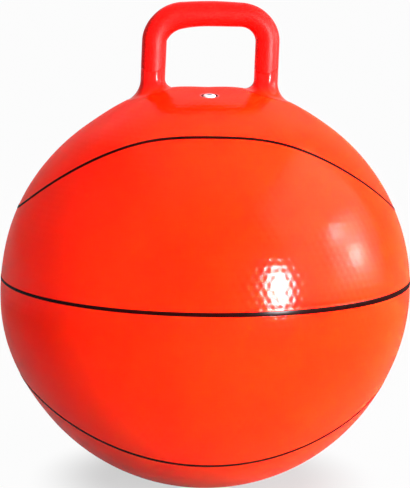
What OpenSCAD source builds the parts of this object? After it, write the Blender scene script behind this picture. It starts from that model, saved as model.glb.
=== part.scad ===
// Hopper ball: a hollow vinyl ball that a child sits on and bounces, with a loop handle.
// It rests on a small flat at z = 0, and the ball's axis is the Z axis.
// The handle stands in the X-Z plane, and the valve is on the crown in front of it, toward -Y.

/* [Ball] */
// Diameter at the widest level
ball_d = 457; // [400:1:520]
// How far the crown lies below the top of a full sphere
crown_drop = 8; // [3:0.5:12]
// Angle that the tighter shoulder arc covers above the widest level
shoulder_sweep = 36; // [28:1:44]
// Diameter of the flat that the ball rests on
foot_d = 60; // [40:1:90]
// Thickness of the vinyl skin
skin_t = 1.4; // [1:0.1:3]

/* [Handle] */
// Distance between the centre lines of the two legs
leg_spacing = 124.5; // [110:0.5:140]
// Outside diameter of the handle tube
tube_d = 26.5; // [22:0.5:30]
// Wall of the handle tube
tube_wall = 2; // [1.2:0.1:4]
// Height of the middle of the grip bar above the crown
bar_rise = 81; // [65:1:110]
// Bend radius of the tube's centre line at the two top corners
bend_r = 30; // [22:0.5:36]
// Radius of the fillet from a leg to the crown on its outer side
fillet_outer = 24; // [14:1:30]
// Radius of the same fillet on the side of the hand gap
fillet_inner = 9; // [6:1:13]

/* [Valve] */
// Angle from the ball's axis to the valve's axis, toward the front
valve_tilt = 12.2; // [11:0.1:20]
// Diameter of the round hole in the skin that the seat fills
port_d = 22; // [20:0.5:26]
// Diameter of the sealing flange behind the skin
flange_d = 34; // [30:0.5:42]
// Thickness of the sealing flange
flange_t = 2.4; // [1.5:0.1:4]
// Diameter of the shallow dish that the plug's head sits in
dish_d = 17.6; // [16:0.1:19]
// Depth of the dish below the skin
dish_depth = 1.5; // [1:0.1:2]
// Outside diameter of the seat's socket tube
socket_d = 14; // [12:0.5:16]
// Length of the socket tube below the flange
socket_l = 13; // [11:0.5:18]
// Bore of the socket
bore_d = 8.6; // [7.6:0.1:9.6]

/* [Plug] */
// Diameter of the plug's head
head_d = 13; // [11:0.1:14]
// Height of the head's straight edge
head_edge = 1.4; // [1:0.1:2]
// Height of the dome on top of the head
head_dome = 0.9; // [0.5:0.1:1.4]
// Diameter of the finger dimple in the head
dimple_d = 4; // [3:0.1:5]
// Depth of the dimple
dimple_depth = 0.8; // [0.4:0.1:1.2]
// Length of the plug's stem
stem_l = 14; // [12:0.5:18]
// Diameter of the stem between its sealing ribs
stem_d = 7; // [5.6:0.1:7.2]
// Number of sealing ribs on the stem
rib_count = 3; // [1:1:4]
// Height of one rib along the stem
rib_h = 1.8; // [1:0.1:2.2]

/* [Lines] */
// Height of the band that runs round the middle, above the widest level
equator_rise = 10.4; // [0:0.1:14]
// Width of the middle band, half way between its ends
equator_w = 4.5; // [3:0.1:6]
// How much wider the middle band gets toward +X, and narrower toward -X
equator_w_swing = 1.4; // [0:0.1:2]
// Width of the two curved lines
curve_w = 4.2; // [3:0.1:6]
// How far the lines stand out of the skin
line_relief = 0.3; // [0.2:0.05:0.6]

/* [Hidden] */
$fn = 96;
// Finer outline for the large ball that the valve seat is cut to
crown_fn = 720;

// Latitudes of the curved lines above or below the widest level: the middle one,
// the swing from front to sides, and the part that rounds the peaks
upper_lat = [40.8, 15.25, -3.05];
lower_lat = [-36.8, -10.75, 0.95];

// Clearance of a part that slides in a bore, and of faces that stay apart
running_fit = 0.05;
face_gap = 0.3;
// Clearance that lets the flat facets of a line pass over the round skin
facet_gap = 0.08;
// Overrun of a cutting shape past the face that it cuts
cut = 1;

// Steps round a leg, down its fillet, back under its sole, and round a line
flare_sides = 48;
flare_steps = 8;
sole_steps = 5;
line_steps = 180;

// Ball outline: a sphere below the widest level, then a shoulder arc, then a crown arc
ball_r = ball_d / 2;
foot_r = foot_d / 2;
ball_z = sqrt(pow(ball_r, 2) - pow(foot_r, 2));
shoulder_x = crown_drop / (1 - (1 - sin(shoulder_sweep)) / cos(shoulder_sweep));
shoulder_r = ball_r - shoulder_x;
crown_r = shoulder_r + shoulder_x / cos(shoulder_sweep);
crown_z = ball_z - shoulder_x * tan(shoulder_sweep);
top_z = crown_z + crown_r;
far = 2 * ball_d;

// Handle centre line: two legs, two corner bends and the grip bar
tube_r = tube_d / 2;
leg_x = leg_spacing / 2;
bar_z = top_z + bar_rise;
bend_x = leg_x - bend_r;
bend_z = bar_z - bend_r;
fillet_mid = (fillet_outer + fillet_inner) / 2;
fillet_swing = (fillet_outer - fillet_inner) / 2;

// Valve, measured along its own axis from the crown's centre
bore_r = bore_d / 2;
flange_z = sqrt(pow(crown_r - skin_t, 2) - pow(flange_d / 2, 2)) - flange_t;
dish_z = crown_r - dish_depth;
head_z = dish_z + face_gap;
rib_r = bore_r - running_fit;
rib_pitch = stem_l / (rib_count + 1);
rib_first = head_z - rib_pitch / 2;

function unit(v) = v / norm(v);

// Distance from the ball's centre to its skin at a latitude
junction_lat = atan2(shoulder_r * sin(shoulder_sweep), shoulder_x + shoulder_r * cos(shoulder_sweep));
function skin_r(lat) =
    lat <= 0 ? ball_r :
    lat < junction_lat
        ? shoulder_x * cos(lat) + sqrt(pow(shoulder_r, 2) - pow(shoulder_x * sin(lat), 2))
        : (crown_z - ball_z) * sin(lat)
            + sqrt(pow(crown_r, 2) - pow((crown_z - ball_z) * cos(lat), 2));

// Centre of the outline's arc at a latitude, as distance from the axis and height
function arc_centre(lat) =
    lat <= 0 ? [0, 0] : lat < junction_lat ? [shoulder_x, 0] : [0, crown_z - ball_z];

// Point square over the skin at a latitude and at a turn from the front (-Y) toward +X
function skin_point(lat, turn, over) =
    let (foot = skin_r(lat) * [cos(lat), sin(lat)],
         place = foot + over * unit(foot - arc_centre(lat)))
    [place[0] * sin(turn), -place[0] * cos(turn), ball_z + place[1]];

// Half outline of the ball, or of its hollow when inset is the skin's thickness
module ball_outline(inset) {
    intersection() {
        union() {
            intersection() {
                circle(r = ball_r - inset);
                translate([0, -far]) square([far, far]);
            }
            intersection() {
                translate([shoulder_x, 0]) circle(r = shoulder_r - inset);
                polygon([[shoulder_x, 0], [far, 0],
                         [shoulder_x + far * cos(shoulder_sweep), far * sin(shoulder_sweep)]]);
            }
            intersection() {
                translate([0, crown_z - ball_z]) circle(r = crown_r - inset);
                polygon([[0, crown_z - ball_z],
                         [far * cos(shoulder_sweep), crown_z - ball_z + far * sin(shoulder_sweep)],
                         [0, far]]);
            }
        }
        translate([0, inset - ball_z]) square([far, far]);
    }
}

module ball_solid(inset) {
    translate([0, 0, ball_z]) rotate_extrude() ball_outline(inset);
}

// Ball of the crown's radius, less an inset, round the crown's centre
module crown_ball(inset) {
    rotate_extrude() intersection() {
        circle(r = crown_r - inset, $fn = crown_fn);
        square(far);
    }
}

// Places its children on the valve's axis, with z measured from the crown's centre
module on_valve_axis() {
    translate([0, 0, crown_z]) rotate([valve_tilt, 0, 0]) children();
}

// Handle tube from leg to leg, of any radius, with the legs running down to a height
module loop_tube(r, leg_bottom) {
    translate([-bend_x, 0, bar_z]) rotate([0, 90, 0]) cylinder(r = r, h = 2 * bend_x);
    for (side = [0, 1]) mirror([side, 0, 0]) {
        translate([bend_x, 0, bend_z]) rotate([90, 0, 0])
            rotate_extrude(angle = 90) translate([bend_r, 0]) circle(r = r);
        translate([leg_x, 0, bend_z]) mirror([0, 0, 1]) cylinder(r = r, h = bend_z - leg_bottom);
    }
}

// Point over the crown at a place beside the ball's axis, measured from the crown's centre
function over_crown(x, y, over) = [x, y, sqrt(pow(crown_r + over, 2) - pow(x, 2) - pow(y, 2))];

// Fillet of a leg at a turn round it, where 0 faces away from the hand gap.
// Its centre keeps the fillet's radius from the tube and from the crown.
function fillet_r(turn) = fillet_mid + fillet_swing * cos(turn);
function fillet_centre(turn) =
    let (reach = tube_r + fillet_r(turn))
    over_crown(leg_x + reach * cos(turn), reach * sin(turn), fillet_r(turn) + facet_gap);
function fillet_point(turn, share) =
    let (centre = fillet_centre(turn),
         to_leg = [-cos(turn), -sin(turn), 0],
         to_crown = -unit(centre),
         sweep = acos(to_leg * to_crown))
    centre + fillet_r(turn) / sin(sweep)
        * (to_leg * sin(sweep * (1 - share)) + to_crown * sin(sweep * share));

flare_top = max([for (i = [0 : flare_sides - 1]) fillet_centre(360 * i / flare_sides)[2]]) + tube_wall;
flare_edge = tube_r / cos(180 / flare_sides) + running_fit / 2;

// Foot of the right leg: rings from a level edge on the tube down the fillet to the crown,
// then back along the crown to the middle of the leg
module leg_flare() {
    turns = [for (i = [0 : flare_sides - 1]) 360 * i / flare_sides];
    rings = concat(
        [[for (t = turns) [leg_x + flare_edge * cos(t), flare_edge * sin(t), flare_top]]],
        [for (j = [0 : flare_steps]) [for (t = turns)
            fillet_point(t, j / flare_steps)
                + (flare_edge - tube_r) * (1 - j / flare_steps) * [cos(t), sin(t), 0]]],
        [for (j = [1 : sole_steps]) [for (t = turns)
            let (edge = fillet_point(t, 1), share = 1 - j / (sole_steps + 1))
            over_crown(leg_x + (edge[0] - leg_x) * share, edge[1] * share, facet_gap)]]);
    last = len(rings) - 1;
    points = concat([for (ring = rings) each ring],
        [[leg_x, 0, flare_top], over_crown(leg_x, 0, facet_gap)]);
    faces = concat(
        [for (j = [0 : last - 1]) for (i = [0 : flare_sides - 1])
            let (k = (i + 1) % flare_sides)
            each [[j * flare_sides + i, j * flare_sides + k, (j + 1) * flare_sides + k],
                  [j * flare_sides + i, (j + 1) * flare_sides + k, (j + 1) * flare_sides + i]]],
        [for (i = [0 : flare_sides - 1]) let (k = (i + 1) % flare_sides)
            [len(points) - 2, k, i]],
        [for (i = [0 : flare_sides - 1]) let (k = (i + 1) % flare_sides)
            [len(points) - 1, last * flare_sides + i, last * flare_sides + k]]);
    translate([0, 0, crown_z]) polyhedron(points, faces, convexity = 4);
}

// A line round the ball. Its latitude and width follow the turn from the front.
function line_lat(law, turn) = law[0] + law[1] * cos(2 * turn) + law[2] * cos(4 * turn);
module line_band(law, width, width_swing) {
    step = 360 / line_steps;
    rings = [for (i = [0 : line_steps - 1])
        let (turn = i * step,
             low = skin_point(line_lat(law, turn), turn, facet_gap),
             high = skin_point(line_lat(law, turn), turn, facet_gap + line_relief),
             along = skin_point(line_lat(law, turn + step), turn + step, facet_gap)
                 - skin_point(line_lat(law, turn - step), turn - step, facet_gap),
             across = unit(cross(along, high - low)),
             half = (width + width_swing * sin(turn)) / 2)
        [low - across * half, low + across * half, high + across * half, high - across * half]];
    faces = [for (i = [0 : line_steps - 1]) let (k = (i + 1) % line_steps)
        for (j = [0 : 3]) let (m = (j + 1) % 4)
            each [[4 * i + j, 4 * k + j, 4 * k + m], [4 * i + j, 4 * k + m, 4 * i + m]]];
    polyhedron([for (ring = rings) each ring], faces, convexity = 4);
}

// Hollow ball, open under the two handle legs and at the valve
module ball_shell() {
    color("orangered") difference() {
        ball_solid(0);
        ball_solid(skin_t);
        for (side = [0, 1]) mirror([side, 0, 0])
            translate([leg_x, 0, ball_z]) cylinder(r = tube_r - tube_wall, h = far);
        on_valve_axis() cylinder(d = port_d, h = far);
    }
}

// Hollow loop with flared feet that follow the crown
module handle_loop() {
    color("red") difference() {
        union() {
            loop_tube(tube_r, crown_z + flare_top - tube_wall);
            for (side = [0, 1]) mirror([side, 0, 0]) leg_flare();
        }
        loop_tube(tube_r - tube_wall, ball_z);
    }
}

// Seat: a neck that fills the hole in the skin, a flange behind it and a socket for the plug
module valve_seat() {
    color("firebrick") on_valve_axis() difference() {
        union() {
            intersection() {
                translate([0, 0, flange_z]) cylinder(d = port_d, h = flange_t + crown_r - flange_z);
                crown_ball(0);
            }
            intersection() {
                translate([0, 0, flange_z]) cylinder(d = flange_d, h = flange_t + crown_r - flange_z);
                crown_ball(skin_t);
            }
            translate([0, 0, flange_z - socket_l]) cylinder(d = socket_d, h = socket_l);
        }
        translate([0, 0, dish_z]) cylinder(d = dish_d, h = dish_depth + cut);
        translate([0, 0, flange_z - socket_l - cut]) cylinder(r = bore_r, h = far);
    }
}

// Plug: a domed head with a dimple, and a ribbed stem that tapers at its tip
module valve_plug() {
    dome_r = (pow(head_d / 2, 2) + pow(head_dome, 2)) / (2 * head_dome);
    head_top = head_z + head_edge + head_dome;
    color("white") on_valve_axis() difference() {
        union() {
            translate([0, 0, head_z]) cylinder(d = head_d, h = head_edge);
            intersection() {
                translate([0, 0, head_z]) cylinder(d = head_d, h = head_edge + head_dome);
                translate([0, 0, head_top - dome_r]) sphere(r = dome_r);
            }
            translate([0, 0, head_z - stem_l]) cylinder(d = stem_d, h = stem_l);
            for (i = [0 : rib_count - 1])
                translate([0, 0, rib_first - i * rib_pitch - rib_h])
                    cylinder(r1 = stem_d / 2, r2 = rib_r, h = rib_h);
            translate([0, 0, head_z - stem_l - rib_h])
                cylinder(r1 = stem_d / 4, r2 = stem_d / 2, h = rib_h);
        }
        translate([0, 0, head_top - dimple_depth]) cylinder(d = dimple_d, h = dimple_depth + cut);
    }
}

module equator_line() {
    color("black") line_band([asin(equator_rise / skin_r(0)), 0, 0], equator_w, equator_w_swing);
}

module upper_line() {
    color("black") line_band(upper_lat, curve_w, 0);
}

module lower_line() {
    color("black") line_band(lower_lat, curve_w, 0);
}

ball_shell();
handle_loop();
valve_seat();
valve_plug();
equator_line();
upper_line();
lower_line();
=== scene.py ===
import math

import bmesh
import bpy
from mathutils import Matrix, Vector


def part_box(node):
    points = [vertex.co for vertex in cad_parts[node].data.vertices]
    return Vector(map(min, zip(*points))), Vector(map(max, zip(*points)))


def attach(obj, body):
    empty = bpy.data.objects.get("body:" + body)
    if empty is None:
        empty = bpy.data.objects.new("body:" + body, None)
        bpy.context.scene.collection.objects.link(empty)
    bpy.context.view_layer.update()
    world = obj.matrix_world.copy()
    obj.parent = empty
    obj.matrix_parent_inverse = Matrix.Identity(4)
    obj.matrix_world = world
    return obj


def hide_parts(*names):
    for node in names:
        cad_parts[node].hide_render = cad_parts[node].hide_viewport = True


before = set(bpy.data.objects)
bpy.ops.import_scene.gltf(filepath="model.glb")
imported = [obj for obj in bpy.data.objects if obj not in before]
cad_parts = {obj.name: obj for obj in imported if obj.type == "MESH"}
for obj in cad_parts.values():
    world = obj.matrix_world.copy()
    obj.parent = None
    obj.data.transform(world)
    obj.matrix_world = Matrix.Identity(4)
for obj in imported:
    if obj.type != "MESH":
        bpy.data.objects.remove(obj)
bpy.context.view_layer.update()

MM = 0.001

# The ball's outline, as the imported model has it: a sphere below the widest level,
# then a shoulder arc, then a crown arc, on a small flat foot
SHELL_LOW, SHELL_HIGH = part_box("ball_shell")
BALL_R = (SHELL_HIGH.x - SHELL_LOW.x) / 2
CROWN_DROP = 8 * MM
SHOULDER_SWEEP = math.radians(36)
FOOT_R = 30 * MM
BALL_Z = math.sqrt(BALL_R ** 2 - FOOT_R ** 2)
SHOULDER_X = CROWN_DROP / (1 - (1 - math.sin(SHOULDER_SWEEP)) / math.cos(SHOULDER_SWEEP))
SHOULDER_R = BALL_R - SHOULDER_X
CROWN_R = SHOULDER_R + SHOULDER_X / math.cos(SHOULDER_SWEEP)
CROWN_Z = BALL_Z - SHOULDER_X * math.tan(SHOULDER_SWEEP)
# Latitude, seen from the ball's centre, at which the shoulder meets the crown
CROWN_LAT = math.atan2(SHOULDER_R * math.sin(SHOULDER_SWEEP),
                       SHOULDER_X + SHOULDER_R * math.cos(SHOULDER_SWEEP))
BALL_CENTRE = Vector((0, 0, BALL_Z))
CROWN_CENTRE = Vector((0, 0, CROWN_Z))

# Handle: a loop of tube on filleted feet
TUBE_R = 13.25 * MM
LEG_X = 62.25 * MM
BEND_R = 30 * MM
BAR_RISE = 81 * MM
BAR_Z = CROWN_Z + CROWN_R + BAR_RISE
BEND_X = LEG_X - BEND_R
BEND_Z = BAR_Z - BEND_R
FILLET_OUTER = 24 * MM
FILLET_INNER = 9 * MM
# The foot's edge lies this far in the skin, and its sole this far under the crown
EDGE_SINK = 0.12 * MM
SOLE_SINK = 1 * MM

# How this loop departs from its design: the bar bows down toward its ends and swells on top,
# the right leg stands further out, and the loop leans
BAR_BOW = 1.2 * MM
BAR_SWELL = 1.2 * MM
RIGHT_SHIFT = 1.0 * MM
RIGHT_SHIFT_Z = (425 * MM, 455 * MM)
HANDLE_LEAN = math.radians(1.7)
LEAN_FROM_Z = 425 * MM
# The left side swells inward. Its shares are on the leg, round the bend (by the bend's share and
# by its square) and at the bar's end, from which it dies out along the bar by a power
LEFT_SWELL = 4.6 * MM
SWELL_LEG = 0.18
SWELL_BEND = 2.06
SWELL_BEND_SQUARE = -1.56
SWELL_BAR = 0.68
SWELL_BAR_POWER = 2.3

# The grip's grain starts at this height on each leg's front, higher at the leg's sides
GRIP_BOTTOM_Z = 464 * MM
GRIP_SIDE_RISE = 6 * MM
GRIP_EDGE = (-0.6 * MM, 1.2 * MM)

# Valve, measured along its own axis from the crown's centre: the port in the crown, the seat with
# its dish, flange, socket and bore, the skin's pocket round it, and the plug's head, stem and ribs
VALVE_TILT = math.radians(12.2)
VALVE_AXIS = Vector((0, -math.sin(VALVE_TILT), math.cos(VALVE_TILT)))
PORT_CENTRE = CROWN_CENTRE + CROWN_R * VALVE_AXIS
PORT_R = 11 * MM
NECK_Z = math.sqrt(CROWN_R ** 2 - PORT_R ** 2)
SEAT_GAP = 0.03 * MM
DISH_R = 8.8 * MM
DISH_DEPTH = 1.5 * MM
SKIN_T = 1.4 * MM
FLANGE_R = 17 * MM
FLANGE_T = 2.4 * MM
SOCKET_R = 7 * MM
SOCKET_L = 13 * MM
BORE_R = 4.3 * MM
POCKET_R = 7.2 * MM
POCKET_DEPTH = 22 * MM
LEDGE_DEPTH = 4.5 * MM
HEAD_R = 6.5 * MM
HEAD_BASE = CROWN_R - 1.2 * MM
HEAD_EDGE = 1.4 * MM
HEAD_DOME = 0.9 * MM
STEM_R = 3.5 * MM
STEM_L = 14 * MM
TIP_L = 1.8 * MM
RIB_COUNT = 3
RIB_R = 4.25 * MM
RIB_H = 1.8 * MM

# Lines. The latitude of a curved one follows its turn from the front: a mean, a wave of two
# turns and a wave of four, in degrees
LINE_RELIEF = 0.28 * MM
LINE_SINK = 0.15 * MM
EQUATOR_RISE = 10.4 * MM
EQUATOR_W = 4.5 * MM
EQUATOR_SWING = 1.4 * MM
CURVE_W = 4.2 * MM
UPPER_LAT = (40.8, 15.25, -3.05)
LOWER_LAT = (-36.8, -10.75, 0.95)
# Half of a line's cross-section, from its edge inward: share of the width, share of the relief,
# and the share of the relief in its middle
LINE_EDGE = ((0.5, 0.45), (0.46, 0.8), (0.38, 1.0))
LINE_CROWN = 1.05

# Unevenness of the inflated skin: middle of a swell as a direction from the ball's centre,
# how far round it reaches, and its height
SWELLS = (
    (Vector((0.67, 0.13, 0.73)), math.radians(58), 2.6 * MM),
    (Vector((-0.96, -0.05, -0.27)), math.radians(25), 3.0 * MM),
    (Vector((0.99, -0.02, -0.09)), math.radians(30), 1.7 * MM),
)
# The skin is pulled up round the handle's left leg and right leg
PULL_H = (4.0 * MM, 2.6 * MM)
PULL_REACH = 60 * MM
# Heights over the skin between which the unevenness fades out, and distances from the valve's
# axis between which it sets in, since the valve moves as one piece
UNEVEN_FADE = (8 * MM, 60 * MM)
VALVE_CALM = (14 * MM, 42 * MM)

# Grain of the vinyl
DIMPLE_PITCH = 9 * MM
DIMPLE_R = 4.2 * MM
DIMPLE_DEPTH = 0.125 * MM
# Slight lips along the middle line: how far beside it, how wide and how high
LIP_ASIDE = 0.6 * MM
LIP_W = 1.5 * MM
LIP_H = 0.12 * MM

# Smoothness of the pieces
SKIN_SIDES = 192
CROWN_STEPS, SHOULDER_STEPS, LOWER_STEPS = 44, 28, 66
HANDLE_SIDES = 96
SOLE_STEPS, FILLET_STEPS, LEG_STEPS, BEND_STEPS, BAR_STEPS = 3, 20, 24, 24, 12
SEAT_SIDES = 96
PLUG_SIDES = 72
LINE_STEPS = 720

# Camera, as distance from the ball's centre, angles and lens, fitted to the outline and the lines
# in the photograph
CAMERA_DISTANCE = 1.828
CAMERA_PITCH = math.radians(10.45)
CAMERA_YAW = math.radians(2.30)
CAMERA_ROLL = math.radians(0.81)
CAMERA_RAISE = math.radians(1.401)
CAMERA_LENS = 119.27
SENSOR_H = 36.0
CAMERA_CLIP_END = 2000


def camera_axes():
    """Place of the camera, and its forward, right and up directions."""
    place = Vector((-math.sin(CAMERA_YAW) * math.cos(CAMERA_PITCH),
                    -math.cos(CAMERA_YAW) * math.cos(CAMERA_PITCH),
                    math.sin(CAMERA_PITCH)))
    forward = -place
    level = forward.cross(Vector((0, 0, 1))).normalized()
    top = level.cross(forward)
    right = math.cos(CAMERA_ROLL) * level + math.sin(CAMERA_ROLL) * top
    up = right.cross(forward)
    forward = math.cos(CAMERA_RAISE) * forward + math.sin(CAMERA_RAISE) * up
    return BALL_CENTRE + CAMERA_DISTANCE * place, forward, right, right.cross(forward)


def make_camera():
    """Camera at the photograph's viewing angle."""
    place, forward, right, up = camera_axes()
    data = bpy.data.cameras.new("camera")
    data.lens = CAMERA_LENS
    data.sensor_fit = "VERTICAL"
    data.sensor_height = SENSOR_H
    data.clip_end = CAMERA_CLIP_END
    camera = bpy.data.objects.new("camera", data)
    turn = Matrix((right, up, -forward)).transposed().to_4x4()
    camera.matrix_world = Matrix.Translation(place) @ turn
    bpy.context.scene.collection.objects.link(camera)
    bpy.context.scene.camera = camera


# Shape helpers

def skin_r(lat):
    """Distance from the ball's centre to its skin at a latitude."""
    if lat <= 0:
        return BALL_R
    if lat < CROWN_LAT:
        return (SHOULDER_X * math.cos(lat)
                + math.sqrt(SHOULDER_R ** 2 - (SHOULDER_X * math.sin(lat)) ** 2))
    drop = CROWN_Z - BALL_Z
    return drop * math.sin(lat) + math.sqrt(CROWN_R ** 2 - (drop * math.cos(lat)) ** 2)


def skin_normal(point):
    """Direction square out of the skin at a point on it or near it."""
    rel = point - BALL_CENTRE
    if rel.z <= 0:
        return rel.normalized()
    out = Vector((rel.x, rel.y, 0)).normalized()
    from_shoulder = rel - SHOULDER_X * out
    if from_shoulder.z < math.tan(SHOULDER_SWEEP) * from_shoulder.dot(out):
        return from_shoulder.normalized()
    return (point - CROWN_CENTRE).normalized()


def skin_point(lat, turn):
    """Point of the skin at a latitude and at a turn from the front (-Y) toward +X."""
    r = skin_r(lat)
    return BALL_CENTRE + Vector((r * math.cos(lat) * math.sin(turn),
                                 -r * math.cos(lat) * math.cos(turn), r * math.sin(lat)))


def ease(value, low, high):
    """Smooth step: 0 up to the low value, 1 from the high value on."""
    share = max(0.0, min(1.0, (value - low) / (high - low)))
    return share * share * (3 - 2 * share)


def unevenness(point):
    """How far the inflated skin departs from its outline at a point on it or near it."""
    rel = point - BALL_CENTRE
    way = rel.normalized()
    over = rel.length - skin_r(math.asin(max(-1, min(1, way.z))))
    rise = sum(height * (1 - ease(way.angle(middle), 0, reach))
               for middle, reach, height in SWELLS)
    aside = Vector((abs(rel.x) - LEG_X, rel.y)).length - TUBE_R
    pull_h = PULL_H[0] + (PULL_H[1] - PULL_H[0]) * ease(rel.x, -LEG_X, LEG_X)
    pull = pull_h * (1 - ease(aside, 0, PULL_REACH)) if rel.z > 0 else 0.0
    return (way * rise + Vector((0, 0, pull))) * (1 - ease(over, *UNEVEN_FADE))


VALVE_SHIFT = unevenness(PORT_CENTRE)
ON_VALVE_AXIS = (Matrix.Translation(CROWN_CENTRE + VALVE_SHIFT)
                 @ Matrix.Rotation(VALVE_TILT, 4, "X"))


def lifted(point):
    """A point of the skin or near it, moved with the unevenness. Round the valve it moves as one."""
    aside = (point - CROWN_CENTRE).cross(VALVE_AXIS).length
    near = (1 - ease(aside, *VALVE_CALM)) if point.z > CROWN_Z + CROWN_R / 2 else 0.0
    return point + unevenness(point) * (1 - near) + VALVE_SHIFT * near


def add_piece(name, verts, faces, body, material, nodes, sharp_deg=None):
    """Makes a smooth-shaded mesh piece that rides on a body."""
    mesh = bpy.data.meshes.new(name)
    mesh.from_pydata([tuple(v) for v in verts], [], faces)
    mesh.validate()
    work = bmesh.new()
    work.from_mesh(mesh)
    bmesh.ops.recalc_face_normals(work, faces=work.faces)
    work.to_mesh(mesh)
    work.free()
    mesh.shade_smooth()
    if sharp_deg:
        mesh.set_sharp_from_angle(angle=math.radians(sharp_deg))
    mesh.materials.append(material)
    piece = bpy.data.objects.new(name, mesh)
    bpy.context.scene.collection.objects.link(piece)
    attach(piece, body)
    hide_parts(*nodes)


def lofted(rings, looped=False):
    """Vertices and faces of a skin over closed rings of equal length. It is capped at both ends,
    or else the last ring joins the first."""
    sides = len(rings[0])
    verts = [v for ring in rings for v in ring]
    count = len(rings)
    faces = []
    for j in range(count if looped else count - 1):
        k = (j + 1) % count
        for i in range(sides):
            m = (i + 1) % sides
            faces.append((j * sides + i, j * sides + m, k * sides + m, k * sides + i))
    if not looped:
        for start in (0, (count - 1) * sides):
            ring = range(start, start + sides)
            centre = sum((verts[i] for i in ring), Vector()) / sides
            verts.append(centre)
            faces += [(start + i, start + (i + 1) % sides, len(verts) - 1) for i in range(sides)]
    return verts, faces


def turns_round(sides):
    return [math.tau * i / sides for i in range(sides)]


def turned(profile, place, sides):
    """Rings of a shape turned round the z axis of a placing matrix. The profile holds (r, z)."""
    return [[place @ Vector((r * math.cos(a), r * math.sin(a), z)) for a in turns_round(sides)]
            for r, z in profile]


def rounded(corners, steps=4):
    """A profile of (r, z) with its corners rounded. Each corner is (r, z, rounding), where a
    rounding of 0 keeps it sharp. A rounding takes less than half of either side."""
    points = []
    count = len(corners)
    for i, (r, z, rounding) in enumerate(corners):
        if not rounding:
            points.append((r, z))
            continue
        here = Vector((r, z))
        back = Vector(corners[i - 1][:2]) - here
        on = Vector(corners[(i + 1) % count][:2]) - here
        cut = min(rounding, back.length * 0.45, on.length * 0.45)
        a, b = here + back.normalized() * cut, here + on.normalized() * cut
        for s in range(steps + 1):
            t = s / steps
            p = (1 - t) ** 2 * a + 2 * t * (1 - t) * here + t * t * b
            points.append((p.x, p.y))
    return points


# Material helpers

class Tree:
    """Short calls for a node tree."""

    def __init__(self, tree):
        self.nodes = tree.nodes
        self.links = tree.links

    def put(self, socket, value):
        if isinstance(value, bpy.types.NodeSocket):
            self.links.new(value, socket)
        else:
            socket.default_value = value

    def fill(self, node, *values):
        """Puts values on a node's first sockets and gives its first output."""
        for socket, value in zip(node.inputs, values):
            self.put(socket, value)
        return node.outputs[0]

    def math(self, operation, *values):
        node = self.nodes.new("ShaderNodeMath")
        node.operation = operation
        return self.fill(node, *values)

    def weighted(self, first, share, second):
        """A share of the first value and the rest of the second."""
        return self.math("ADD", self.math("MULTIPLY", first, share),
                         self.math("MULTIPLY", second, 1 - share))

    def vector(self, operation, *values):
        node = self.nodes.new("ShaderNodeVectorMath")
        node.operation = operation
        self.fill(node, *values)
        return node.outputs["Value" if operation in ("LENGTH", "DOT_PRODUCT") else "Vector"]

    def xyz(self, vector):
        node = self.nodes.new("ShaderNodeSeparateXYZ")
        self.fill(node, vector)
        return node.outputs[0], node.outputs[1], node.outputs[2]

    def span(self, value, low, high, to_low=0.0, to_high=1.0):
        """Smooth step from one number to another, while a value runs from low to high."""
        node = self.nodes.new("ShaderNodeMapRange")
        node.interpolation_type = "SMOOTHSTEP"
        return self.fill(node, value, low, high, to_low, to_high)


class Graph(Tree):
    """A material with one shader, on the piece's own coordinates."""

    def __init__(self, name):
        self.material = bpy.data.materials.new(name)
        self.material.use_nodes = True
        super().__init__(self.material.node_tree)
        self.nodes.clear()
        out = self.nodes.new("ShaderNodeOutputMaterial")
        self.shader = self.nodes.new("ShaderNodeBsdfPrincipled")
        self.links.new(self.shader.outputs[0], out.inputs["Surface"])
        self.place = self.nodes.new("ShaderNodeTexCoord").outputs["Object"]

    def noise(self, scale, detail=4.0, rough=0.6):
        node = self.nodes.new("ShaderNodeTexNoise")
        for name, value in (("Vector", self.place), ("Scale", scale),
                            ("Detail", detail), ("Roughness", rough)):
            self.put(node.inputs[name], value)
        return node.outputs["Fac"]

    def mix(self, share, first, second):
        node = self.nodes.new("ShaderNodeMix")
        node.data_type = "RGBA"
        self.put(node.inputs[0], share)
        for socket, item in ((node.inputs[6], first), (node.inputs[7], second)):
            self.put(socket, item if isinstance(item, bpy.types.NodeSocket) else (*item, 1.0))
        return node.outputs[2]

    def bump(self, height, distance, normal=None):
        node = self.nodes.new("ShaderNodeBump")
        node.inputs["Strength"].default_value = 1.0
        node.inputs["Distance"].default_value = distance
        self.put(node.inputs["Height"], height)
        if normal is not None:
            self.put(node.inputs["Normal"], normal)
        return node.outputs[0]

    def away_from(self, point):
        return self.vector("LENGTH", self.vector("SUBTRACT", self.place, tuple(point)))

    def finish(self, **values):
        """Sets the shader's sockets, named with underscores, and gives the material."""
        for name, value in values.items():
            self.put(self.shader.inputs[name.replace("_", " ")], value)
        return self.material


# Materials

PLASTIC_IOR = 1.5
VINYL_COLOUR = (0.985, 0.0160, 0.0010)
VINYL_DEEP = (0.98, 0.0105, 0.0008)
HANDLE_COLOUR = (0.90, 0.006, 0.004)
HANDLE_DEEP = (0.84, 0.0045, 0.003)
# Painted shade for the pits of the handle's grain
HANDLE_PIT_SHADE = (0.66, 0.002, 0.0015)
# Painted shade for the dish round the plug's head
SEAT_DISH_SHADE = (0.22, 0.012, 0.010)
PLUG_WHITE = (0.66, 0.64, 0.635)
PLUG_DULL = (0.54, 0.52, 0.515)
# Painted shade for the hollow in the plug's head
PLUG_HOLLOW_SHADE = (0.10, 0.10, 0.135)
INK_COLOUR = (0.0068, 0.0003, 0.0003)
INK_DEEP = (0.0042, 0.0002, 0.0002)


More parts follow.
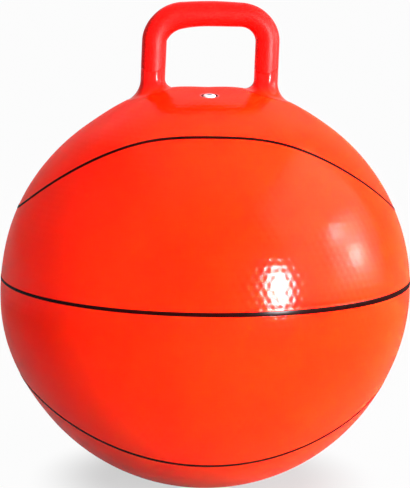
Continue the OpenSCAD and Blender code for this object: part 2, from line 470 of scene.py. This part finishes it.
def dimple_field(g):
    """1 at the middle of a dimple, 0 between them. Rows follow the latitude, each row holds a
    whole number of dimples, and every second row is shifted by half a pitch."""
    x, y, z = g.xyz(g.vector("NORMALIZE", g.vector("SUBTRACT", g.place, tuple(BALL_CENTRE))))
    turn = g.math("DIVIDE", g.math("ARCTAN2", x, g.math("MULTIPLY", y, -1.0)), math.tau)
    row_lat = DIMPLE_PITCH * math.sqrt(3) / 2 / BALL_R
    row = g.math("DIVIDE", g.math("ARCSINE", z), row_lat)
    nearest = None
    for step in (-1, 0, 1):
        index = g.math("ADD", g.math("ROUND", row), float(step))
        along = g.math("COSINE", g.math("MULTIPLY", index, row_lat))
        fitting = g.math("MULTIPLY", along, math.tau * BALL_R / DIMPLE_PITCH)
        count = g.math("MAXIMUM", g.math("ROUND", fitting), 1.0)
        pitch = g.math("DIVIDE", g.math("MULTIPLY", along, math.tau * BALL_R), count)
        shift = g.math("MULTIPLY", g.math("PINGPONG", index, 1.0), 0.5)
        spot = g.math("ADD", g.math("MULTIPLY", turn, count), shift)
        aside = g.math("SUBTRACT", g.math("FRACT", spot), 0.5)
        across = g.math("MULTIPLY", aside, pitch)
        rise = g.math("MULTIPLY", g.math("SUBTRACT", row, index), row_lat * BALL_R)
        square = g.math("ADD", g.math("MULTIPLY", across, across), g.math("MULTIPLY", rise, rise))
        distance = g.math("SQRT", square)
        nearest = distance if nearest is None else g.math("MINIMUM", nearest, distance)
    return g.span(nearest, 0.0, DIMPLE_R, 1.0, 0.0)


def ball_vinyl():
    """Cloudy glossy vinyl with the dimpled grain and a slight lip along both sides of the middle
    line. Light scatters in it, but not in the part that is thin round the valve."""
    g = Graph("ball_vinyl")
    cloud = g.noise(9.0, rough=0.55)
    mottle = g.noise(60.0)
    fine = g.noise(900.0, detail=2.0, rough=0.5)
    tone = g.span(g.weighted(cloud, 0.65, mottle), 0.35, 0.68)
    waves = g.bump(mottle, 0.12 * MM, normal=g.bump(fine, 0.03 * MM))
    from_line = g.math("SUBTRACT", g.xyz(g.place)[2], BALL_Z + EQUATOR_RISE)
    beside = g.math("SUBTRACT", g.math("ABSOLUTE", from_line), EQUATOR_W / 2 + LIP_ASIDE)
    lip = g.span(g.math("ABSOLUTE", beside), 0.0, LIP_W, 1.0, 0.0)
    lips = g.bump(lip, LIP_H, normal=waves)
    normal = g.bump(g.math("MULTIPLY", dimple_field(g), -1.0), DIMPLE_DEPTH, normal=lips)
    return g.finish(
        Base_Color=g.mix(tone, VINYL_DEEP, VINYL_COLOUR),
        Roughness=g.span(g.weighted(cloud, 0.5, mottle), 0.3, 0.7, 0.28, 0.34),
        Normal=normal, IOR=PLASTIC_IOR, Specular_IOR_Level=0.0,
        Coat_Weight=0.19, Coat_Roughness=0.14, Coat_IOR=PLASTIC_IOR, Coat_Normal=normal,
        Subsurface_Weight=g.span(g.away_from(PORT_CENTRE), 28 * MM, 75 * MM),
        Subsurface_Radius=(1.0, 0.008, 0.004), Subsurface_Scale=1.5)


def handle_vinyl():
    """Pitted grain over the loop, with painted shade in its pits, from a rounded edge on each leg,
    and a glossy finish below it, where the colour runs into the ball's."""
    g = Graph("handle_vinyl")
    x, y, z = g.xyz(g.place)
    cloud = g.noise(14.0, rough=0.55)
    mottle = g.noise(90.0)
    grain = g.noise(480.0, detail=3.0)
    aside = g.math("DIVIDE", g.math("SUBTRACT", g.math("ABSOLUTE", x), LEG_X), TUBE_R)
    bend = g.math("MINIMUM", g.math("MULTIPLY", aside, aside), 1.0)
    edge = g.math("ADD", GRIP_BOTTOM_Z, g.math("MULTIPLY", bend, GRIP_SIDE_RISE))
    grip = g.span(g.math("SUBTRACT", z, edge), *GRIP_EDGE)
    tone = g.span(g.weighted(cloud, 0.6, mottle), 0.35, 0.68)
    foot = g.mix(tone, VINYL_DEEP, VINYL_COLOUR)
    loop = g.mix(tone, HANDLE_DEEP, HANDLE_COLOUR)
    whole = g.mix(g.span(z, 438 * MM, 452 * MM), foot, loop)
    # painted shade: the grain's pits are darkened, for the shade in them
    pit_shaded = g.mix(g.span(grain, 0.38, 0.56), HANDLE_PIT_SHADE, whole)
    smooth_rough = g.span(cloud, 0.3, 0.7, 0.07, 0.11)
    grip_rough = g.span(mottle, 0.3, 0.7, 0.34, 0.44)
    relief = g.bump(grip, 0.25 * MM, normal=g.bump(mottle, 0.10 * MM))
    return g.finish(
        Base_Color=g.mix(grip, whole, pit_shaded),
        Roughness=g.span(grip, 0.0, 1.0, smooth_rough, grip_rough),
        Normal=g.bump(g.math("MULTIPLY", grain, grip), 0.3 * MM, normal=relief),
        IOR=PLASTIC_IOR, Specular_IOR_Level=0.08,
        Subsurface_Weight=g.span(z, 448 * MM, 470 * MM, 0.0, 0.5),
        Subsurface_Radius=(1.0, 0.12, 0.05), Subsurface_Scale=0.012)


def seat_vinyl():
    """The skin's vinyl, with painted shade in patches in the dish round the plug's head."""
    g = Graph("seat_vinyl")
    mottle = g.noise(160.0)
    clean = g.mix(g.span(mottle, 0.35, 0.68), VINYL_DEEP, VINYL_COLOUR)
    from_port = g.away_from(PORT_CENTRE + VALVE_SHIFT)
    patchy = g.span(mottle, 0.3, 0.5, 0.75, 1.0)
    # painted shade: the dish and its rim round the plug's head are darkened in patches, for the shadow
    # under the head's edge
    dish_shade = g.math("MULTIPLY", g.span(from_port, 11.2 * MM, 9.0 * MM), patchy)
    return g.finish(
        Base_Color=g.mix(dish_shade, clean, SEAT_DISH_SHADE),
        Roughness=g.span(mottle, 0.3, 0.7, 0.2, 0.3),
        Normal=g.bump(mottle, 0.05 * MM), Specular_IOR_Level=0.15)


def plug_plastic():
    """White plastic, dull in places, with a dark ragged mark of painted shade over and round the
    hollow in the middle of the head.
    """
    g = Graph("plug_plastic")
    mottle = g.noise(220.0)
    scuff = g.noise(700.0, detail=2.0, rough=0.5)
    rel = g.vector("SUBTRACT", g.place, tuple(ON_VALVE_AXIS.translation))
    from_axis = g.vector("LENGTH", g.vector("CROSS_PRODUCT", rel, tuple(VALVE_AXIS)))
    ragged = g.math("ADD", from_axis, g.math("MULTIPLY", scuff, 3.0 * MM))
    white = g.mix(g.span(mottle, 0.35, 0.7), PLUG_DULL, PLUG_WHITE)
    return g.finish(
        # painted shade: a dark ragged mark over and round the hollow in the head, for the shade in
        # that hollow
        Base_Color=g.mix(g.span(ragged, 5.0 * MM, 3.9 * MM), white, PLUG_HOLLOW_SHADE),
        Roughness=g.span(mottle, 0.3, 0.7, 0.28, 0.42),
        Normal=g.bump(scuff, 0.03 * MM))


def line_ink():
    """Black-brown printed ink with a slight gloss."""
    g = Graph("line_ink")
    mottle = g.noise(120.0)
    fine = g.noise(900.0, detail=2.0, rough=0.5)
    return g.finish(
        Base_Color=g.mix(g.span(mottle, 0.35, 0.7), INK_DEEP, INK_COLOUR),
        Roughness=g.span(mottle, 0.3, 0.7, 0.17, 0.22),
        Normal=g.bump(fine, 0.04 * MM), Specular_IOR_Level=0.0,
        Coat_Weight=0.1, Coat_Roughness=0.2, Coat_IOR=PLASTIC_IOR)


# Pieces

def crown_ring(share):
    """Ring of the crown, from the valve's port (share 0) to the shoulder (share 1). The rings
    turn from the valve's axis to the ball's."""
    port_angle = math.asin(PORT_R / CROWN_R)
    polar = port_angle + (math.pi / 2 - SHOULDER_SWEEP - port_angle) * share
    tilt = Matrix.Rotation(VALVE_TILT * (1 - ease(share, 0, 1)), 3, "X")
    r, z = CROWN_R * math.sin(polar), CROWN_R * math.cos(polar)
    return [CROWN_CENTRE + tilt @ Vector((r * math.cos(a), r * math.sin(a), z))
            for a in turns_round(SKIN_SIDES)]


def level_ring(lat):
    """Ring of the skin at a latitude."""
    r, z = skin_r(lat) * math.cos(lat), skin_r(lat) * math.sin(lat)
    return [BALL_CENTRE + Vector((r * math.cos(a), r * math.sin(a), z))
            for a in turns_round(SKIN_SIDES)]


def make_skin(material):
    """Outer skin in one piece: a pocket for the valve seat, the crown, the shoulder, the lower
    half and the flat foot."""
    bottom, ledge = CROWN_R - POCKET_DEPTH, CROWN_R - LEDGE_DEPTH
    pocket = turned([(POCKET_R / 2, bottom), (POCKET_R, bottom), (POCKET_R, ledge), (PORT_R, ledge),
                     (PORT_R, NECK_Z - 0.35 * MM), (PORT_R + 0.02 * MM, NECK_Z - 0.12 * MM)],
                    ON_VALVE_AXIS, SKIN_SIDES)
    lip = [crown_ring(0.0035)]
    crown = [crown_ring((j / CROWN_STEPS) ** 1.25) for j in range(1, CROWN_STEPS + 1)]
    shoulder = [level_ring(CROWN_LAT * (1 - j / SHOULDER_STEPS)) for j in range(1, SHOULDER_STEPS + 1)]
    foot_lat = -math.acos(FOOT_R / BALL_R)
    lower = [level_ring(foot_lat * j / LOWER_STEPS) for j in range(1, LOWER_STEPS)]
    foot = turned([(FOOT_R * s, 0.0) for s in (1.0, 0.97, 0.75, 0.5, 0.25)], Matrix(), SKIN_SIDES)
    outside = [[lifted(v) for v in ring] for ring in lip + crown + shoulder + lower]
    verts, faces = lofted(pocket + outside + foot)
    add_piece("ball_skin", verts, faces, "ball", material, ["ball_shell"],
              sharp_deg=40)


def fillet_r(turn):
    """Radius of a leg's fillet, large on the outer side (turn 0) and small on the inner."""
    return (FILLET_OUTER + FILLET_INNER) / 2 + (FILLET_OUTER - FILLET_INNER) / 2 * math.cos(turn)


def fillet_centre(turn):
    """Centre of the fillet's arc, which touches both the tube and the crown."""
    r = fillet_r(turn)
    x = LEG_X + (TUBE_R + r) * math.cos(turn)
    y = (TUBE_R + r) * math.sin(turn)
    return Vector((x, y, CROWN_Z + math.sqrt((CROWN_R + r) ** 2 - x * x - y * y)))


def fillet_point(turn, share):
    """Point on a leg's fillet, from the tube (share 0) to the crown (share 1)."""
    centre = fillet_centre(turn)
    to_leg = Vector((-math.cos(turn), -math.sin(turn), 0))
    to_crown = (CROWN_CENTRE - centre).normalized()
    sweep = to_leg.angle(to_crown)
    way = to_leg * math.sin(sweep * (1 - share)) + to_crown * math.sin(sweep * share)
    return centre + fillet_r(turn) * (way / math.sin(sweep))


def swollen(point):
    """The handle's tube bulges on top of the bar and inside its left bend, and its right leg
    stands further out."""
    side = 1 if point.x > 0 else -1
    x, z = abs(point.x), point.z
    if z < BEND_Z:
        out, off, bulge = Vector((1, 0)), x - LEG_X, SWELL_LEG
    elif x > BEND_X:
        way = Vector((x - BEND_X, z - BEND_Z))
        turn = math.atan2(way.y, way.x) / (math.pi / 2)
        out, off = way.normalized(), way.length - BEND_R
        bulge = SWELL_LEG + SWELL_BEND * turn + SWELL_BEND_SQUARE * turn ** 2
    else:
        out, off, bulge = Vector((0, 1)), z - BAR_Z, SWELL_BAR * (x / BEND_X) ** SWELL_BAR_POWER
    inner, outer = max(0.0, -off / TUBE_R), max(0.0, off / TUBE_R)
    move = outer * BAR_SWELL * (1 - ease(x, 0, LEG_X - BEND_R / 2)) if z > BEND_Z else 0.0
    if side < 0:
        move -= inner * LEFT_SWELL * bulge
    shift = RIGHT_SHIFT * ease(point.x, 0, LEG_X) * ease(z, *RIGHT_SHIFT_Z)
    return Vector((side * (x + out.x * move) + shift, point.y, z + out.y * move))


def settled(point):
    """The handle as it stands on this ball: the bar bows a little and the loop leans toward +X."""
    point = swollen(point)
    rise = max(0.0, min(1.0, (point.z - BEND_Z) / BEND_R))
    z = point.z - BAR_BOW * (point.x / LEG_X) ** 2 * rise
    lean = max(0.0, z - LEAN_FROM_Z)
    return Vector((point.x + math.tan(HANDLE_LEAN) * lean, point.y, z))


def sole_ring(turns, share):
    """Ring under a foot, at a share of the way from the leg's axis to the fillet's edge."""
    ring = []
    for t in turns:
        edge = fillet_point(t, 1)
        x, y = LEG_X + (edge.x - LEG_X) * share, edge.y * share
        z = CROWN_Z + math.sqrt((CROWN_R - SOLE_SINK) ** 2 - x * x - y * y)
        ring.append(Vector((x, y, z)))
    return ring


def fillet_ring(turns, share):
    """Ring round a fillet, from the tube (share 0) to its edge (share 1), which sinks in."""
    points = [fillet_point(t, share) for t in turns]
    return [p - (p - CROWN_CENTRE).normalized() * (EDGE_SINK * share ** 4) for p in points]


def bend_ring(turns, a):
    """Ring round the tube at an angle up the bend."""
    ring = []
    for t in turns:
        r = BEND_R + TUBE_R * math.cos(t)
        ring.append(Vector((BEND_X + r * math.cos(a), TUBE_R * math.sin(t), BEND_Z + r * math.sin(a))))
    return ring


def make_handle(material):
    """The loop as one skin, from under one foot over the bar to under the other foot."""
    turns = turns_round(HANDLE_SIDES)
    around = [(TUBE_R * math.cos(t), TUBE_R * math.sin(t)) for t in turns]
    low = max(fillet_centre(t).z for t in turns) + 2 * MM
    half = [sole_ring(turns, 1 - j / (SOLE_STEPS + 1)) for j in range(SOLE_STEPS, 0, -1)]
    half += [fillet_ring(turns, j / FILLET_STEPS) for j in range(FILLET_STEPS, -1, -1)]
    for j in range(1, LEG_STEPS + 1):
        z = (1 - j / LEG_STEPS) * low + j / LEG_STEPS * BEND_Z
        half.append([Vector((LEG_X + u, v, z)) for u, v in around])
    half += [bend_ring(turns, math.pi / 2 * j / BEND_STEPS) for j in range(1, BEND_STEPS + 1)]
    for j in range(1, BAR_STEPS + 1):
        x = BEND_X * (1 - j / BAR_STEPS)
        half.append([Vector((x, v, BAR_Z + u)) for u, v in around])
    other = [[Vector((-v.x, v.y, v.z)) for v in ring] for ring in reversed(half[:-1])]
    verts, faces = lofted([[lifted(settled(v)) for v in ring] for ring in half + other])
    add_piece("handle", verts, faces, "ball", material, ["handle_loop"])


def make_seat(material):
    """Neck flush with the skin, dish, sealing flange and socket tube, turned in one profile."""
    dish = CROWN_R - DISH_DEPTH
    dish_top = math.sqrt(CROWN_R ** 2 - DISH_R ** 2)
    flange_top = math.sqrt((CROWN_R - SKIN_T) ** 2 - FLANGE_R ** 2)
    flange_low = flange_top - FLANGE_T
    socket_low = flange_low - SOCKET_L
    neck_r = PORT_R - SEAT_GAP
    profile = rounded([
        (BORE_R, dish, 0.4 * MM), (DISH_R, dish, 0.4 * MM), (DISH_R, dish_top, 0.35 * MM),
        (neck_r, NECK_Z, 0.2 * MM), (neck_r, flange_top + 1 * MM, 0),
        (FLANGE_R, flange_top, 0.3 * MM), (FLANGE_R, flange_low, 0.4 * MM),
        (SOCKET_R, flange_low, 0.4 * MM), (SOCKET_R, socket_low, 0.4 * MM),
        (BORE_R, socket_low, 0.3 * MM)])
    verts, faces = lofted(turned(profile, ON_VALVE_AXIS, SEAT_SIDES), looped=True)
    add_piece("valve_seat_ring", verts, faces, "ball", material, ["valve_seat"],
              sharp_deg=50)


def make_plug(material):
    """Domed head with a small hollow in its middle, over a ribbed and tapered stem."""
    top = HEAD_BASE + HEAD_EDGE + HEAD_DOME
    dome_r = (HEAD_R ** 2 + HEAD_DOME ** 2) / (2 * HEAD_DOME)

    def dome_z(r):
        return top - dome_r + math.sqrt(dome_r ** 2 - r ** 2)

    hollow = [(0.4 * MM, top - 0.8 * MM, 0), (1.3 * MM, top - 0.75 * MM, 0.4 * MM),
              (1.9 * MM, top - 0.25 * MM, 0.3 * MM), (2.5 * MM, dome_z(2.5 * MM), 0.3 * MM)]
    dome = [(r * MM, dome_z(r * MM), 0) for r in (3.4, 4.3, 5.1)]
    rim = [(HEAD_R, dome_z(HEAD_R) + 0.05 * MM, 0.5 * MM), (HEAD_R, HEAD_BASE, 0.35 * MM),
           (STEM_R, HEAD_BASE, 0.3 * MM)]
    ribs = []
    pitch = STEM_L / (RIB_COUNT + 1)
    for i in range(RIB_COUNT):
        z = HEAD_BASE - pitch / 2 - i * pitch
        ribs += [(STEM_R, z, 0.15 * MM), (RIB_R, z, 0.2 * MM), (STEM_R, z - RIB_H, 0.3 * MM)]
    tip = HEAD_BASE - STEM_L
    end = [(STEM_R, tip, 0.3 * MM), (STEM_R / 2, tip - TIP_L, 0.4 * MM), (0.4 * MM, tip - TIP_L, 0)]
    profile = rounded(hollow + dome + rim + ribs + end)
    verts, faces = lofted(turned(profile, ON_VALVE_AXIS, PLUG_SIDES))
    add_piece("valve_button", verts, faces, "plug", material, ["valve_plug"],
              sharp_deg=50)


def make_line(name, law, width, swing, node, material):
    """A low ink band round the ball. Its latitude and width follow the turn from the front."""
    def middle_at(turn):
        mean, twice, four_times = law
        lat = mean + twice * math.cos(2 * turn) + four_times * math.cos(4 * turn)
        return skin_point(math.radians(lat), turn)

    rim = [(share, LINE_RELIEF * high) for share, high in LINE_EDGE]
    section = [(-0.5, -LINE_SINK)] + [(-share, rise) for share, rise in rim]
    section += [(0, LINE_RELIEF * LINE_CROWN)] + rim[::-1] + [(0.5, -LINE_SINK)]
    rings = []
    step = math.tau / LINE_STEPS
    for turn in turns_round(LINE_STEPS):
        middle = middle_at(turn)
        normal = skin_normal(middle)
        across = (middle_at(turn + step) - middle_at(turn - step)).cross(normal).normalized()
        wide = width + swing * math.sin(turn)
        ring = []
        for share, rise in section:
            drop = (share * wide) ** 2 / (2 * BALL_R)
            ring.append(lifted(middle + across * share * wide + normal * (rise - drop)))
        rings.append(ring)
    verts, faces = lofted(rings, looped=True)
    add_piece(name, verts, faces, "ball", material, [node], sharp_deg=35)


# Stage

# Parts of the room's light: direction, where it fades in along it, and its strength
ROOM = (
    ((0, 0, 1), -1.01, -1.0, 0.12),
    ((-0.2, 0.6, 1), 0.1, 0.9, 0.12),
    ((-1, -0.35, 0.1), 0.1, 0.9, 0.46),
    ((1, -0.5, 0.3), 0.2, 0.9, 0.45),
    ((0.15, 1, 0.35), 0.6, 0.92, 0.6),
)

# White backdrop over the back of the floor: where it fades along Y and along Z, and its share there
HAZE_Y = (-0.35, 0.25, 0.0, 0.5)
HAZE_Z = (0.1, 0.55, 1.0, 0.0)

FLOOR_HALF = 600.0
FLOOR_SINK = 0.2 * MM
FLOOR_GREY = (0.15, 0.15, 0.15, 1)
FLOOR_ROUGH = 0.9

# White sweep on the floor: how white it is, half its width at the front and how that grows,
# where its front edge lies, how softly it ends, and the share of white beyond it
SWEEP_WHITE = 0.97
SWEEP_HALF = 0.27
SWEEP_SPREAD = 0.19
SWEEP_FRONT = 0.05
SWEEP_EDGE = 0.5
SWEEP_GREY = 0.3
# Where it whitens again outward, and where it fades under the ball, and to what share
SWEEP_FAR = (0.6, 1.5)
SWEEP_NEAR = (BALL_R * 0.45, BALL_R * 0.9, 0.62, 1.0)


def white_to_camera(t, lit, white, strength):
    """Mixes in plain white, as strong as a socket says, for camera, glossy and transmission rays."""
    path = t.nodes.new("ShaderNodeLightPath")
    seen = path.outputs["Is Camera Ray"]
    for name in ("Is Glossy Ray", "Is Transmission Ray"):
        seen = t.math("MAXIMUM", seen, path.outputs[name])
    mix = t.nodes.new("ShaderNodeMixShader")
    return t.fill(mix, t.math("MULTIPLY", seen, strength), lit, white)


def sweep_share(t):
    """How white the floor is: a white sweep runs from under the ball to the back of the studio,
    the floor is a little greyer beside it, in front of it and close round the ball, and far
    away it is white all round."""
    place = t.nodes.new("ShaderNodeNewGeometry").outputs["Position"]
    x, y, z = t.xyz(place)
    away = t.math("MAXIMUM", t.math("ADD", y, SWEEP_FRONT), 0.0)
    half = t.math("ADD", t.math("MULTIPLY", away, SWEEP_SPREAD), SWEEP_HALF)
    aside = t.math("SUBTRACT", t.math("ABSOLUTE", x), half)
    beside = t.span(aside, 0.0, SWEEP_EDGE, 1.0, SWEEP_GREY)
    front = t.span(y, -SWEEP_FRONT - SWEEP_EDGE, -SWEEP_FRONT, SWEEP_GREY, 1.0)
    reach = t.vector("LENGTH", place)
    outward = t.math("MAXIMUM", t.math("MINIMUM", beside, front), t.span(reach, *SWEEP_FAR))
    share = t.math("MULTIPLY", outward, t.span(reach, *SWEEP_NEAR))
    return t.math("MULTIPLY", share, SWEEP_WHITE)


def make_floor():
    """Plain floor that keeps the ball's shadow."""
    half = FLOOR_HALF
    mesh = bpy.data.meshes.new("floor")
    corners = [(-half, -half, 0), (half, -half, 0), (half, half, 0), (-half, half, 0)]
    mesh.from_pydata(corners, [], [(0, 1, 2, 3)])
    floor = bpy.data.objects.new("floor", mesh)
    floor.location.z = -FLOOR_SINK
    bpy.context.scene.collection.objects.link(floor)
    material = bpy.data.materials.new("floor_white")
    material.use_nodes = True
    t = Tree(material.node_tree)
    shader = t.nodes["Principled BSDF"]
    shader.inputs["Base Color"].default_value = FLOOR_GREY
    shader.inputs["Roughness"].default_value = FLOOR_ROUGH
    shader.inputs["Specular IOR Level"].default_value = 0.0
    glow = t.nodes.new("ShaderNodeEmission")
    glow.inputs["Strength"].default_value = 1.0
    seen = white_to_camera(t, shader.outputs[0], glow.outputs[0], sweep_share(t))
    t.put(t.nodes["Material Output"].inputs["Surface"], seen)
    mesh.materials.append(material)


def make_world():
    """A dim room with paler walls to the left, to the right and behind, and a white backdrop
    over the back of the floor, which gives no light to dull surfaces."""
    world = bpy.data.worlds.new("studio")
    bpy.context.scene.world = world
    world.use_nodes = True
    t = Tree(world.node_tree)
    way = t.nodes.new("ShaderNodeTexCoord").outputs["Generated"]
    total = None
    for direction, low, high, strength in ROOM:
        toward = t.vector("DOT_PRODUCT", way, Vector(direction).normalized())
        part = t.span(toward, low, high, 0.0, strength)
        total = part if total is None else t.math("ADD", total, part)
    ambient = t.nodes["Background"]
    ambient.inputs["Color"].default_value = (1, 1, 1, 1)
    t.put(ambient.inputs["Strength"], total)
    x, y, z = t.xyz(way)
    haze = t.math("MULTIPLY", t.span(y, *HAZE_Y), t.span(z, *HAZE_Z))
    glow = t.nodes.new("ShaderNodeBackground")
    glow.inputs["Strength"].default_value = 1.0
    seen = white_to_camera(t, ambient.outputs[0], glow.outputs[0], haze)
    t.put(t.nodes["World Output"].inputs["Surface"], seen)


def add_lamp(name, aim, turn_deg, up_deg, distance, wide, high, radiance, shape="RECTANGLE"):
    """A softbox that faces a point, from a turn from the front (-Y) toward +X and a height angle.
    Its radiance is in units of diffuse white."""
    turn, up = math.radians(turn_deg), math.radians(up_deg)
    way = Vector((math.sin(turn) * math.cos(up), -math.cos(turn) * math.cos(up), math.sin(up)))
    data = bpy.data.lights.new(name, "AREA")
    data.shape = shape
    data.size = wide
    data.size_y = high
    area = wide * high * (math.pi / 4 if shape == "ELLIPSE" else 1)
    data.energy = radiance * math.pi * area
    lamp = bpy.data.objects.new(name, data)
    lamp.location = aim + way * distance
    lamp.rotation_euler = way.to_track_quat("Z", "Y").to_euler()
    bpy.context.scene.collection.objects.link(lamp)


def make_lights():
    """A window in front to the right, three softboxes at the right, and weak fill from the right,
    from above and from behind."""
    add_lamp("key", Vector((0.066, -0.216, 0.265)), turn_deg=38.6, up_deg=6.9, distance=2.2,
             wide=0.54, high=0.98, radiance=186.0, shape="ELLIPSE")
    add_lamp("side_high", Vector((0.131, -0.167, 0.317)), turn_deg=86.4, up_deg=24.6, distance=2.0,
             wide=0.26, high=0.2, radiance=48.0)
    add_lamp("side_low", Vector((0.151, -0.162, 0.291)), turn_deg=93.6, up_deg=12.2, distance=2.0,
             wide=0.3, high=0.32, radiance=45.0)
    add_lamp("side_wide", Vector((0.145, -0.165, 0.3)), turn_deg=91, up_deg=15, distance=2.0,
             wide=1.1, high=0.95, radiance=8.6)
    add_lamp("wall", BALL_CENTRE, turn_deg=82, up_deg=28, distance=2.9,
             wide=3.6, high=3.4, radiance=3.2)
    add_lamp("top", BALL_CENTRE, turn_deg=10, up_deg=88, distance=2.8,
             wide=2.8, high=2.8, radiance=0.55)
    add_lamp("top_back", BALL_CENTRE, turn_deg=180, up_deg=52, distance=2.8,
             wide=3.0, high=2.2, radiance=0.45)


def main():
    make_camera()
    make_floor()
    make_world()
    make_lights()
    make_skin(ball_vinyl())
    make_handle(handle_vinyl())
    make_seat(seat_vinyl())
    make_plug(plug_plastic())
    ink = line_ink()
    equator_lat = (math.degrees(math.asin(EQUATOR_RISE / BALL_R)), 0, 0)
    make_line("equator_band", equator_lat, EQUATOR_W, EQUATOR_SWING, "equator_line", ink)
    make_line("upper_band", UPPER_LAT, CURVE_W, 0, "upper_line", ink)
    make_line("lower_band", LOWER_LAT, CURVE_W, 0, "lower_line", ink)
    bpy.context.scene.view_settings.view_transform = "Standard"


main()
